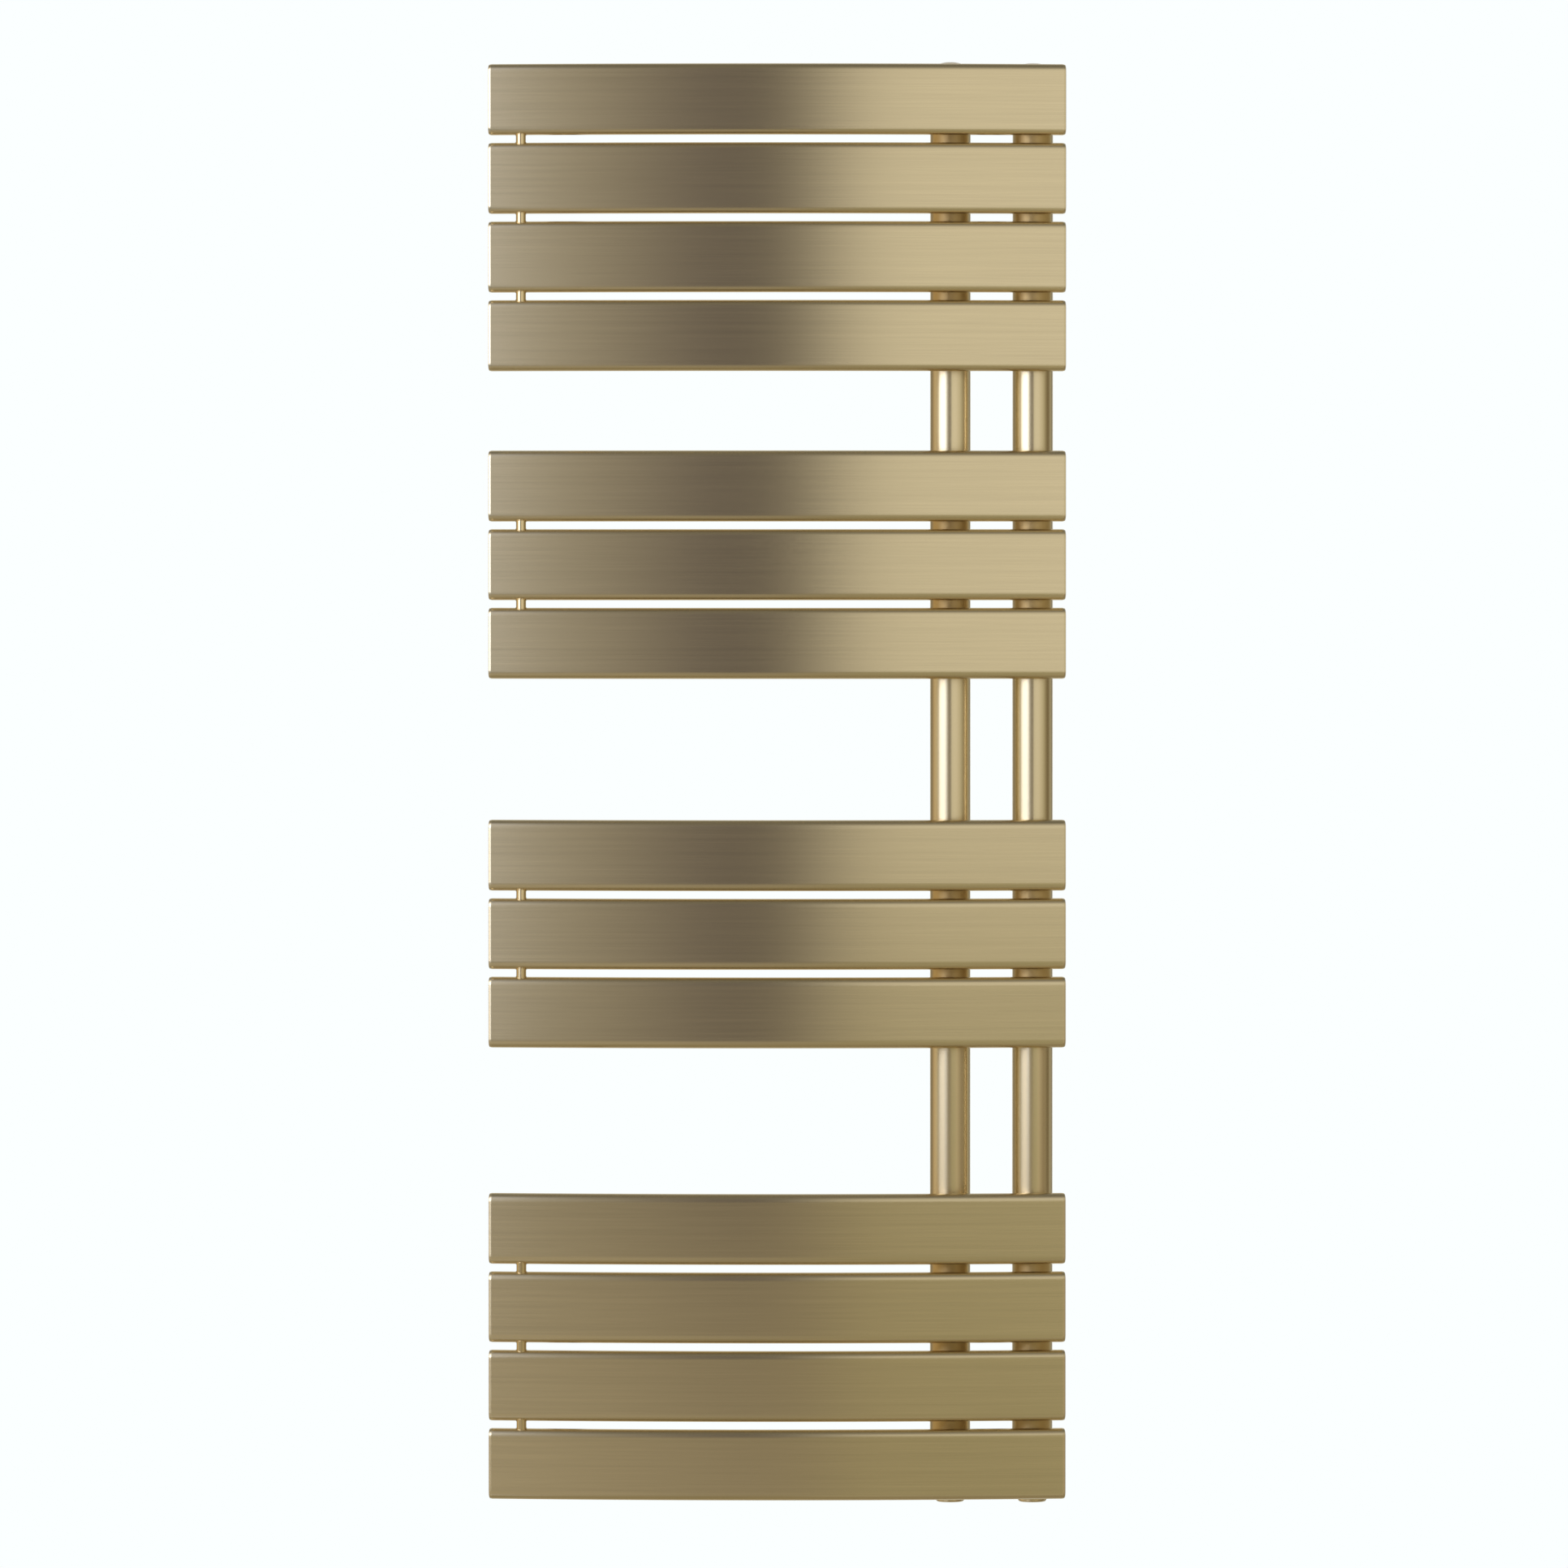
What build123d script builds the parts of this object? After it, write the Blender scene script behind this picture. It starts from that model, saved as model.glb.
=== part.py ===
from build123d import *
import math
import os

os.makedirs("parts", exist_ok=True)

# A wall-hung hot-water towel radiator in brushed brass. Fourteen flat bars, gently bowed towards
# the room, stand in four groups on two round upright collectors near their right-hand ends, and
# their left-hand ends are free. Four telescopic wall cups hold it by posts behind bars 2 and 13.
#
# Millimetres. The wall is the plane y = 0 and the room is on the -Y side. The origin is the
# centre of the four wall fixings. +X is to the right as seen from the room, and +Z is up.

# Bars
BAR_WIDTH = 500.0
BAR_HEIGHT = 61.5
BAR_THICKNESS = 14.0
BAR_WALL = 1.5
BAR_BOW = 18.0  # how far a bar's middle stands proud of its two ends
BAR_CROWN_Y = -112.0  # the front of a bar at its middle
GROUP_SIZES = (4, 3, 3, 4)
NARROW_GAP = 6.5
TOWEL_GAPS = (68.5, 122.0, 126.0)  # between the groups, from the top down
CAP_THICKNESS = 3.0
CAP_EDGE_ROUND = 1.4
DIVIDER_THICKNESS = 2.0
DIVIDER_STOPS_SHORT = 45.0  # of the free end, so that the water can turn there
SLIP = 0.05  # radial gap of a piece that slides or turns in another, or is welded into it

# Collectors and the nipples that feed each bar from them
SUPPLY_X = 150.3
RETURN_X = 221.7
COLLECTOR_Y = -64.0
COLLECTOR_RADIUS = 17.5
COLLECTOR_WALL = 1.5
NIPPLE_RADIUS = 6.0
NIPPLE_WALL = 1.2
NIPPLE_OFFSET = 8.0  # above the bar's middle on the supply side, below it on the return side
NIPPLE_REACH_IN_COLLECTOR = 14.5  # from the collector's axis to the nipple's near end
NIPPLE_REACH_IN_BAR = 2.6  # past the outside of the bar's back

# Threaded end pieces, butt-welded on the collectors. The thread is G 1/2, at its inner diameter.
TOP_RIM_Z = 618.6
BOTTOM_RIM_Z = -625.5
THREAD_RADIUS = 9.315
THREAD_LENGTH = 12.0
BOSS_NECK_RADIUS = 12.5
BOSS_NECK_LENGTH = 3.0
BOSS_RIM_ROUND = 2.4
BOSS_SPIGOT_LENGTH = 1.5
BOSS_RELIEF_RADIUS = 12.0

# Plugs in the two upper ends
PLUG_HEAD_RADIUS = 13.0
PLUG_SHANK_RADIUS = THREAD_RADIUS - SLIP
PLUG_SHANK_LENGTH = 10.0
PLUG_CHAMFER = 0.8
BLANKING_HEAD_HEIGHT = 5.55
BLANKING_CROWN_RADIUS = 30.0
BLANKING_HEX = 8.0
BLANKING_HEX_DEPTH = 5.0
VENT_HEAD_HEIGHT = 4.55
VENT_CROWN_RADIUS = 35.0
VENT_RECESS_RADIUS = 5.0
VENT_RECESS_DEPTH = 3.0
VENT_SCREW_RADIUS = 3.0
VENT_SCREW_LENGTH = 7.0
VENT_SEAT_LENGTH = 2.0
VENT_SEAT_RADIUS = 1.2
VENT_HEAD_SQUARE = 5.0
VENT_HEAD_RISE = 2.4
O_RING_CENTRE_RADIUS = 11.2
O_RING_SECTION_RADIUS = 0.75
O_RING_GROOVE_HALF_WIDTH = 0.8
O_RING_GROOVE_DEPTH = 1.52

# Spacer pins between the bars of a group, near their free ends
PIN_X = -221.5
PIN_RADIUS = 4.3

# Telescopic brackets behind bars 2 and 13
BRACKET_X = 186.0
BRACKET_BARS = (1, 12)  # indices of the two bars that carry posts
POST_RADIUS = 10.0
POST_END_Y = -16.0
POST_CHAMFER = 1.0
CUP_RADIUS = 15.0
CUP_LENGTH = 45.0
CUP_BASE = 4.0
CUP_FLANGE_RADIUS = 20.0
CUP_FLANGE_ROUND = 1.5
CUP_MOUTH_CHAMFER = 1.0
WALL_HOLE_RADIUS = 3.25
LOCK_SCREW_Y = -38.0
LOCK_SCREW_RADIUS = 2.5
LOCK_SCREW_LENGTH = 6.0
LOCK_SCREW_GAP = 0.3  # between the screw's tip and the post
LOCK_SCREW_CHAMFER = 0.4
LOCK_SCREW_HEX = 2.5
LOCK_SCREW_HEX_DEPTH = 2.5

# Worked out from the above
HALF_WIDTH = BAR_WIDTH / 2
FRONT_RADIUS = (HALF_WIDTH**2 + BAR_BOW**2) / (2 * BAR_BOW)
BEND_CENTRE_Y = BAR_CROWN_Y + FRONT_RADIUS
BEND_AXIS = Axis((0, BEND_CENTRE_Y, 0), (0, 0, 1))
END_ANGLE = math.degrees(math.asin(HALF_WIDTH / FRONT_RADIUS))
MIDDLE_RADIUS = FRONT_RADIUS - BAR_THICKNESS / 2
CAP_ANGLE = math.degrees(CAP_THICKNESS / MIDDLE_RADIUS)


def bar_heights():
    """The height of each bar's middle, from the top bar down, with the stack centred on z = 0."""
    gaps = []
    for group, size in enumerate(GROUP_SIZES):
        gaps += [NARROW_GAP] * (size - 1)
        gaps += TOWEL_GAPS[group : group + 1]
    top = (len(gaps) * BAR_HEIGHT + sum(gaps)) / 2
    return [top - i * BAR_HEIGHT - sum(gaps[:i]) for i in range(len(gaps) + 1)]


def bar_depth(x, inset):
    """The y of a bar at x, on the surface that lies inset behind its front face."""
    return BEND_CENTRE_Y - math.sqrt((FRONT_RADIUS - inset) ** 2 - x**2)


def rod_along_y(x, z, y_from, y_to, radius):
    """A round rod along Y."""
    length = abs(y_to - y_from)
    return Pos(x, (y_from + y_to) / 2, z) * Cylinder(radius, length, rotation=(90, 0, 0))


def rod_along_z(x, y, z_from, z_to, radius):
    """A round rod along Z."""
    return Pos(x, y, (z_from + z_to) / 2) * Cylinder(radius, abs(z_to - z_from))


def bent(section, angle_from, angle_to):
    """Sweeps a section that stands at x = 0 along the bars' bend. Angles grow towards +X."""
    swept = revolve(section, axis=BEND_AXIS, revolution_arc=angle_to - angle_from)
    return swept.rotate(BEND_AXIS, angle_from)


def bar_section(inset=0.0):
    """A bar's flat-oval section, with fully rounded long edges, inset all round."""
    slot = SlotOverall(BAR_HEIGHT - 2 * inset, BAR_THICKNESS - 2 * inset, rotation=90)
    middle_y = BAR_CROWN_Y + BAR_THICKNESS / 2
    return Plane.YZ * Pos(middle_y, 0) * slot


def make_bar():
    """One bar's flat-oval tube at z = 0, open at both ends, with its two ports in the back."""
    tube_end = END_ANGLE - CAP_ANGLE
    tube = bent(bar_section() - bar_section(BAR_WALL), -tube_end, tube_end)
    for x, z in ((SUPPLY_X, NIPPLE_OFFSET), (RETURN_X, -NIPPLE_OFFSET)):
        y_inside = bar_depth(x, BAR_THICKNESS / 2)
        tube -= rod_along_y(x, z, y_inside, y_inside + BAR_THICKNESS, NIPPLE_RADIUS + SLIP)
    return tube


def make_end_cap(side):
    """One end cap at z = 0, welded on the tube's end. side is 1 at the right and -1 at the left."""
    angles = sorted((side * (END_ANGLE - CAP_ANGLE), side * END_ANGLE))
    cap = bent(bar_section(), *angles)
    outer_face = (cap.faces() | GeomType.PLANE).sort_by(Axis.X)[-1 if side > 0 else 0]
    return fillet(outer_face.edges(), CAP_EDGE_ROUND)


def make_flow_divider():
    """The strip inside a bar that sends the water out to the free end and back."""
    width = BAR_THICKNESS - 2 * BAR_WALL - 2 * SLIP
    strip = Plane.YZ * Pos(BAR_CROWN_Y + BAR_THICKNESS / 2, 0) * Rectangle(width, DIVIDER_THICKNESS)
    free_end = END_ANGLE - math.degrees(DIVIDER_STOPS_SHORT / MIDDLE_RADIUS)
    return bent(strip, -free_end, END_ANGLE - CAP_ANGLE)


def make_nipple(x):
    """The short tube that joins a bar's back to the collector at x, at z = 0."""
    y_back = COLLECTOR_Y - NIPPLE_REACH_IN_COLLECTOR
    y_front = bar_depth(x, BAR_THICKNESS) - NIPPLE_REACH_IN_BAR
    outside = rod_along_y(x, 0, y_front, y_back, NIPPLE_RADIUS)
    return outside - rod_along_y(x, 0, y_front, y_back, NIPPLE_RADIUS - NIPPLE_WALL)


def make_collector(x, port_heights):
    """An upright round tube with one port towards the back of each bar."""
    z_from = BOTTOM_RIM_Z + THREAD_LENGTH
    z_to = TOP_RIM_Z - THREAD_LENGTH
    tube = rod_along_z(x, COLLECTOR_Y, z_from, z_to, COLLECTOR_RADIUS)
    tube -= rod_along_z(x, COLLECTOR_Y, z_from, z_to, COLLECTOR_RADIUS - COLLECTOR_WALL)
    y_front = COLLECTOR_Y - COLLECTOR_RADIUS - 1
    for z in port_heights:
        tube -= rod_along_y(x, z, y_front, COLLECTOR_Y, NIPPLE_RADIUS + SLIP)
    return tube


def make_boss():
    """A threaded end piece with its rim at z = 0. The collector is below it."""
    neck = rod_along_z(0, 0, -BOSS_NECK_LENGTH, 0, BOSS_NECK_RADIUS)
    rim = neck.edges().sort_by(Axis.Z)[-1]
    neck = fillet(rim, BOSS_RIM_ROUND)
    body = rod_along_z(0, 0, -THREAD_LENGTH, -BOSS_NECK_LENGTH, COLLECTOR_RADIUS)
    spigot_end = -THREAD_LENGTH - BOSS_SPIGOT_LENGTH
    spigot_radius = COLLECTOR_RADIUS - COLLECTOR_WALL - SLIP
    spigot = rod_along_z(0, 0, spigot_end, -THREAD_LENGTH, spigot_radius)
    boss = neck + body + spigot
    boss -= rod_along_z(0, 0, -THREAD_LENGTH, 0, THREAD_RADIUS)
    return boss - rod_along_z(0, 0, spigot_end, -THREAD_LENGTH, BOSS_RELIEF_RADIUS)


def make_plug_blank(head_height, crown_radius):
    """A plug with a domed head on z = 0, a groove under the head and a shank below it."""
    head = rod_along_z(0, 0, 0, head_height, PLUG_HEAD_RADIUS)
    head &= Pos(0, 0, head_height - crown_radius) * Sphere(crown_radius)
    groove = rod_along_z(0, 0, 0, O_RING_GROOVE_DEPTH, O_RING_CENTRE_RADIUS + O_RING_GROOVE_HALF_WIDTH)
    groove -= rod_along_z(0, 0, 0, O_RING_GROOVE_DEPTH, O_RING_CENTRE_RADIUS - O_RING_GROOVE_HALF_WIDTH)
    shank = rod_along_z(0, 0, -PLUG_SHANK_LENGTH, 0, PLUG_SHANK_RADIUS)
    shank = chamfer(shank.edges().sort_by(Axis.Z)[0], PLUG_CHAMFER)
    return head - groove + shank


def hex_pocket(across_flats, z_from, z_to):
    """The material that a hexagonal socket takes away, along Z."""
    outline = RegularPolygon(across_flats / 2, 6, major_radius=False)
    return Pos(0, 0, z_from) * extrude(outline, z_to - z_from)


def make_blanking_plug():
    """The plug in the supply collector's upper end, with a hexagonal key socket in its crown."""
    blank = make_plug_blank(BLANKING_HEAD_HEIGHT, BLANKING_CROWN_RADIUS)
    floor = BLANKING_HEAD_HEIGHT - BLANKING_HEX_DEPTH
    return blank - hex_pocket(BLANKING_HEX, floor, BLANKING_HEAD_HEIGHT)


def make_vent_plug():
    """The plug in the return collector's upper end, bored for the vent screw and its seat."""
    floor = VENT_HEAD_HEIGHT - VENT_RECESS_DEPTH
    seat_top = floor - VENT_SCREW_LENGTH
    seat_bottom = seat_top - VENT_SEAT_LENGTH
    plug = make_plug_blank(VENT_HEAD_HEIGHT, VENT_CROWN_RADIUS)
    plug -= rod_along_z(0, 0, floor, VENT_HEAD_HEIGHT, VENT_RECESS_RADIUS)
    plug -= rod_along_z(0, 0, seat_top, floor, VENT_SCREW_RADIUS + SLIP)
    seat = Cone(VENT_SEAT_RADIUS, VENT_SCREW_RADIUS + SLIP, VENT_SEAT_LENGTH)
    plug -= Pos(0, 0, (seat_top + seat_bottom) / 2) * seat
    return plug - rod_along_z(0, 0, -PLUG_SHANK_LENGTH, seat_bottom, VENT_SEAT_RADIUS)


def make_vent_screw():
    """The screw that shuts the vent: a square head for a vent key, a shank and a conical tip."""
    floor = VENT_HEAD_HEIGHT - VENT_RECESS_DEPTH
    shank_end = floor - VENT_SCREW_LENGTH
    screw = rod_along_z(0, 0, shank_end, floor, VENT_SCREW_RADIUS)
    screw += Pos(0, 0, floor) * extrude(Rectangle(VENT_HEAD_SQUARE, VENT_HEAD_SQUARE), VENT_HEAD_RISE)
    tip_length = VENT_SEAT_LENGTH - 2 * SLIP
    tip = Cone(VENT_SEAT_RADIUS, VENT_SCREW_RADIUS, tip_length)
    return screw + Pos(0, 0, shank_end - tip_length / 2) * tip


def make_o_ring():
    """The ring that seals a plug's head on its boss. It lies on z = 0."""
    return Pos(0, 0, O_RING_SECTION_RADIUS) * Torus(O_RING_CENTRE_RADIUS, O_RING_SECTION_RADIUS)


def make_spacer_pin():
    """One pin between two bars whose gap is centred on z = 0, shaped to their rounded edges."""
    filled_bar = bent(bar_section(), -END_ANGLE, END_ANGLE)
    reach = NARROW_GAP / 2 + BAR_WALL + 1
    pin = rod_along_z(PIN_X, bar_depth(PIN_X, BAR_THICKNESS / 2), -reach, reach, PIN_RADIUS)
    to_bar_middle = (NARROW_GAP + BAR_HEIGHT) / 2
    for side in (-1, 1):
        pin -= Pos(0, 0, side * to_bar_middle) * filled_bar
    return pin


def make_post(x):
    """One post at z = 0, its front end shaped to the back of the bar that it is welded to."""
    y_front = bar_depth(x, BAR_THICKNESS / 2)
    post = rod_along_y(x, 0, y_front, POST_END_Y, POST_RADIUS)
    post = chamfer(post.edges().sort_by(Axis.Y)[-1], POST_CHAMFER)
    return post - bent(bar_section(), -END_ANGLE, END_ANGLE)


def make_wall_cup(x):
    """One cup at z = 0. A wall screw goes through its base, and a lock screw comes up from below."""
    flange = rod_along_y(x, 0, -CUP_BASE, 0, CUP_FLANGE_RADIUS)
    flange = fillet(flange.edges().sort_by(Axis.Y)[0], CUP_FLANGE_ROUND)
    barrel = rod_along_y(x, 0, -CUP_LENGTH, 0, CUP_RADIUS)
    cup = flange + barrel
    mouth = rod_along_y(x, 0, -CUP_LENGTH, -CUP_BASE, POST_RADIUS + SLIP)
    cup -= mouth
    cup = chamfer(cup.edges().group_by(Axis.Y)[0], CUP_MOUTH_CHAMFER)
    cup -= rod_along_y(x, 0, -CUP_BASE, 0, WALL_HOLE_RADIUS)
    lock_hole = rod_along_z(x, LOCK_SCREW_Y, -CUP_RADIUS - 1, -POST_RADIUS / 2, LOCK_SCREW_RADIUS + SLIP)
    return cup - lock_hole


def make_lock_screw(x):
    """One socket set screw below a post whose axis is at z = 0."""
    top = -POST_RADIUS - LOCK_SCREW_GAP
    bottom = top - LOCK_SCREW_LENGTH
    screw = rod_along_z(x, LOCK_SCREW_Y, bottom, top, LOCK_SCREW_RADIUS)
    screw = chamfer(screw.edges() | GeomType.CIRCLE, LOCK_SCREW_CHAMFER)
    socket = hex_pocket(LOCK_SCREW_HEX, bottom, bottom + LOCK_SCREW_HEX_DEPTH)
    return screw - Pos(x, LOCK_SCREW_Y, 0) * socket


def at_heights(shape, heights):
    """Copies of a shape made at z = 0, one at each height."""
    return Compound(children=[Pos(0, 0, z) * shape for z in heights])


def write(node, shape):
    """Writes one node's STEP file."""
    export_step(shape, f"parts/{node}.step")


heights = bar_heights()

# Bars, numbered from the top down, with their caps and dividers
bar = make_bar()
for number, z in enumerate(heights, start=1):
    write(f"bar_{number:02d}", Pos(0, 0, z) * bar)
write("bar_end_caps_left", at_heights(make_end_cap(-1), heights))
write("bar_end_caps_right", at_heights(make_end_cap(1), heights))
write("bar_flow_dividers", at_heights(make_flow_divider(), heights))

# Collectors, nipples and threaded end pieces
supply_ports = [z + NIPPLE_OFFSET for z in heights]
return_ports = [z - NIPPLE_OFFSET for z in heights]
for name, x, ports in (("supply", SUPPLY_X, supply_ports), ("return", RETURN_X, return_ports)):
    write(f"{name}_nipples", at_heights(make_nipple(x), ports))
    write(f"{name}_collector", make_collector(x, ports))
    write(f"{name}_top_boss", Pos(x, COLLECTOR_Y, TOP_RIM_Z) * make_boss())
    write(f"{name}_bottom_boss", Pos(x, COLLECTOR_Y, BOTTOM_RIM_Z) * Rot(180, 0, 0) * make_boss())

# Plugs, their sealing rings and the vent screw
supply_top = Pos(SUPPLY_X, COLLECTOR_Y, TOP_RIM_Z)
return_top = Pos(RETURN_X, COLLECTOR_Y, TOP_RIM_Z)
write("blanking_plug", supply_top * make_blanking_plug())
write("blanking_plug_o_ring", supply_top * make_o_ring())
write("vent_plug", return_top * make_vent_plug())
write("vent_plug_o_ring", return_top * make_o_ring())
write("vent_screw", return_top * make_vent_screw())

# Spacer pins, one node for each group of bars
spacer_pin = make_spacer_pin()
first = 0
for group, size in enumerate(GROUP_SIZES, start=1):
    members = heights[first : first + size]
    gap_middles = [(upper + lower) / 2 for upper, lower in zip(members, members[1:])]
    write(f"spacer_pins_group_{group}", at_heights(spacer_pin, gap_middles))
    first += size

# Brackets
posts, cups = [], []
for row, index in zip(("upper", "lower"), BRACKET_BARS):
    for side, x in (("left", -BRACKET_X), ("right", BRACKET_X)):
        place = Pos(0, 0, heights[index])
        posts.append(place * make_post(x))
        cups.append(place * make_wall_cup(x))
        write(f"lock_screw_{row}_{side}", place * make_lock_screw(x))
write("bracket_posts", Compound(children=posts))
write("wall_cups", Compound(children=cups))
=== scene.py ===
import math

import bmesh
import bpy
from mathutils import Matrix, Vector


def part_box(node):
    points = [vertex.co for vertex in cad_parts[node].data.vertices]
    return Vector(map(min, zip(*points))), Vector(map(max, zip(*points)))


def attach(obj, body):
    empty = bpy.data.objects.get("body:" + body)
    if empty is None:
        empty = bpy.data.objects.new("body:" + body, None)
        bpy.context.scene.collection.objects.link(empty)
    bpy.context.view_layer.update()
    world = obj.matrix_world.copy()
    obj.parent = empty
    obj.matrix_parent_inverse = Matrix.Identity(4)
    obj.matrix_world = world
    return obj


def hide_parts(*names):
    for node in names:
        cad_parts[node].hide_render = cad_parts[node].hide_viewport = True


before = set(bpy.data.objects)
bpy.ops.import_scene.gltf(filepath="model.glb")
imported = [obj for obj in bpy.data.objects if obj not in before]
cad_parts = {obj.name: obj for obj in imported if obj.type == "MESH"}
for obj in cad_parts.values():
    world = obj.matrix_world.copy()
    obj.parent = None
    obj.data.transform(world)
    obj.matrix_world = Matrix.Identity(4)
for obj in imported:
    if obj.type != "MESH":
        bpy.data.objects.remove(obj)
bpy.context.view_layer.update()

# ---- Camera ----
# It stands far back in front of the radiator, a little above its middle, on a long lens.

CAMERA_PLACE = Vector((0.0, -9.7, 0.20))
CAMERA_AIM = Vector((0.0060, -0.095, -0.0012))
SEEN_WIDTH = 1.3567  # of the whole frame, at the distance of the aim

camera_data = bpy.data.cameras.new("camera")
camera = bpy.data.objects.new("camera", camera_data)
bpy.context.scene.collection.objects.link(camera)
bpy.context.scene.camera = camera
to_aim = CAMERA_AIM - CAMERA_PLACE
camera.location = CAMERA_PLACE
camera.rotation_euler = to_aim.to_track_quat("-Z", "Y").to_euler()
camera_data.lens = camera_data.sensor_width * to_aim.length / SEEN_WIDTH
camera_data.clip_end = 100.0
bpy.context.scene.view_settings.view_transform = "Standard"

# ---- Studio floor ----
# A round board of pale, matt painted plywood below the radiator, small enough to stay out of the
# front view. Its paint is rolled on, which leaves a faint, even mottle. The metal mirrors the
# ground of the room below in its place.

FLOOR_Z = -0.9
FLOOR_RADIUS = 2.2
FLOOR_THICKNESS = 0.02
FLOOR_ROUND = 0.004
FLOOR_SEGMENTS = 128
FLOOR_DARK = (0.76, 0.79, 0.79, 1.0)
FLOOR_LIGHT = (0.84, 0.87, 0.87, 1.0)
MOTTLE_SCALE = 260.0
CLOUD_SCALE = 1.3
MOTTLE_HEIGHT = 0.0004


class Value:
    """One value in a node tree. Arithmetic on it adds Math nodes, and node() adds any other."""

    def __init__(self, tree, socket=None):
        self.tree = tree
        self.socket = socket

    def node(self, kind, settings=None, sockets=None, output=0):
        """Adds a node: its settings first, then the value or the link of each socket."""
        made = self.tree.nodes.new(kind)
        for name, setting in (settings or {}).items():
            if name == "stops":
                stops = made.color_ramp.elements
                while len(stops) < len(setting):
                    stops.new(1.0)
                for stop, (position, shade) in zip(stops, setting):
                    stop.position = position
                    stop.color = (*shade, 1.0)
            else:
                setattr(made, name, setting)
        for name, given in (sockets or {}).items():
            if isinstance(given, Value):
                self.tree.links.new(given.socket, made.inputs[name])
            else:
                made.inputs[name].default_value = given
        return Value(self.tree, made.outputs[output] if len(made.outputs) else None)

    def maths(self, operation, first, second):
        return self.node("ShaderNodeMath", {"operation": operation}, {0: first, 1: second})

    def mixed(self, low, high):
        """The colour from low to high that this factor picks."""
        return self.node("ShaderNodeMix", {"data_type": "RGBA"}, {0: self, 6: low, 7: high}, 2)

    def part(self, axis):
        """This vector's X, Y or Z."""
        return self.node("ShaderNodeSeparateXYZ", None, {"Vector": self}, axis)

    def ramp(self, start, end):
        """0 where this value is at start or before it, and 1 from end on, smoothly between."""
        return self.node(
            "ShaderNodeMapRange", {"interpolation_type": "SMOOTHSTEP"},
            {"Value": self, "From Min": start, "From Max": end},
        )

    def noise(self, scale, detail):
        """A noise texture at this place."""
        sockets = {"Vector": self, "Scale": scale, "Detail": detail}
        return self.node("ShaderNodeTexNoise", None, sockets)

    def bump(self, strength, distance):
        """A normal that is tilted by this height."""
        sockets = {"Height": self, "Strength": strength, "Distance": distance}
        return self.node("ShaderNodeBump", None, sockets)

    def __add__(self, other):
        return self.maths("ADD", self, other)

    __radd__ = __add__

    def __sub__(self, other):
        return self.maths("SUBTRACT", self, other)

    def __rsub__(self, other):
        return self.maths("SUBTRACT", other, self)

    def __mul__(self, other):
        return self.maths("MULTIPLY", self, other)

    __rmul__ = __mul__


def empty_material(name):
    """A material with no nodes yet, and a Value to add them from."""
    material = bpy.data.materials.new(name)
    material.use_nodes = True
    material.node_tree.nodes.clear()
    return material, Value(material.node_tree)


def finish_shader(start, sockets):
    """Adds the Principled shader with these sockets, and links it to the surface."""
    shader = start.node("ShaderNodeBsdfPrincipled", None, sockets, "BSDF")
    start.node("ShaderNodeOutputMaterial", None, {"Surface": shader})


def finish_mesh(name, mesh, material, sharp_angle=math.radians(40)):
    """Makes a smooth-shaded object of a bmesh, with its place in its mesh."""
    data = bpy.data.meshes.new(name)
    mesh.to_mesh(data)
    mesh.free()
    data.shade_smooth()
    data.set_sharp_from_angle(angle=sharp_angle)
    data.materials.append(material)
    made = bpy.data.objects.new(name, data)
    bpy.context.scene.collection.objects.link(made)
    weighting = made.modifiers.new("flat_faces_stay_flat", "WEIGHTED_NORMAL")
    weighting.keep_sharp = True
    return made


def bevel_edges(mesh, edges, size, segments):
    bmesh.ops.bevel(
        mesh, geom=edges, offset=size, segments=segments, profile=0.5, material=-1, affect="EDGES"
    )


def rolled_paint():
    material, start = empty_material("rolled_paint")
    place = start.node("ShaderNodeTexCoord", output="Object")
    mottle = place.noise(MOTTLE_SCALE, 3.0)
    tone = 0.3 * mottle + 0.7 * place.noise(CLOUD_SCALE, 2.0)
    finish_shader(start, {
        "Base Color": tone.mixed(FLOOR_DARK, FLOOR_LIGHT),
        "Roughness": 0.55 + 0.2 * mottle,
        "Normal": mottle.bump(0.2, MOTTLE_HEIGHT),
    })
    return material


board = bmesh.new()
bmesh.ops.create_circle(board, cap_ends=True, segments=FLOOR_SEGMENTS, radius=FLOOR_RADIUS)
sides = bmesh.ops.extrude_face_region(board, geom=board.faces[:])
raised = [v for v in sides["geom"] if isinstance(v, bmesh.types.BMVert)]
bmesh.ops.translate(board, verts=raised, vec=(0, 0, -FLOOR_THICKNESS))
bmesh.ops.recalc_face_normals(board, faces=board.faces)
rim = [e for e in board.edges if e.calc_face_angle(0) > math.radians(60)]
bevel_edges(board, rim, FLOOR_ROUND, 3)
bmesh.ops.translate(board, verts=board.verts, vec=(0, 0, FLOOR_Z))
studio_floor = finish_mesh("studio_floor", board, rolled_paint())
studio_floor.visible_glossy = False

# ---- Studio light ----
# A dim room with a bright soft light on the left and a broad, weaker one on the right. Between
# them it is dark, so that the bowed bars show a dark band. The backdrop is white.

BACKDROP = (0.965, 1.0, 1.0, 1.0)
ROOM_BRIGHTEST = 3.7
CEILING = (0.19, 0.185, 0.17, 1.0)
GROUND = (0.34, 0.30, 0.21, 1.0)
LIGHTS_TOP = math.radians(48)
LIGHTS_FADE = math.radians(25)
GROUND_FADE = (math.radians(-70), math.radians(-28))
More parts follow.
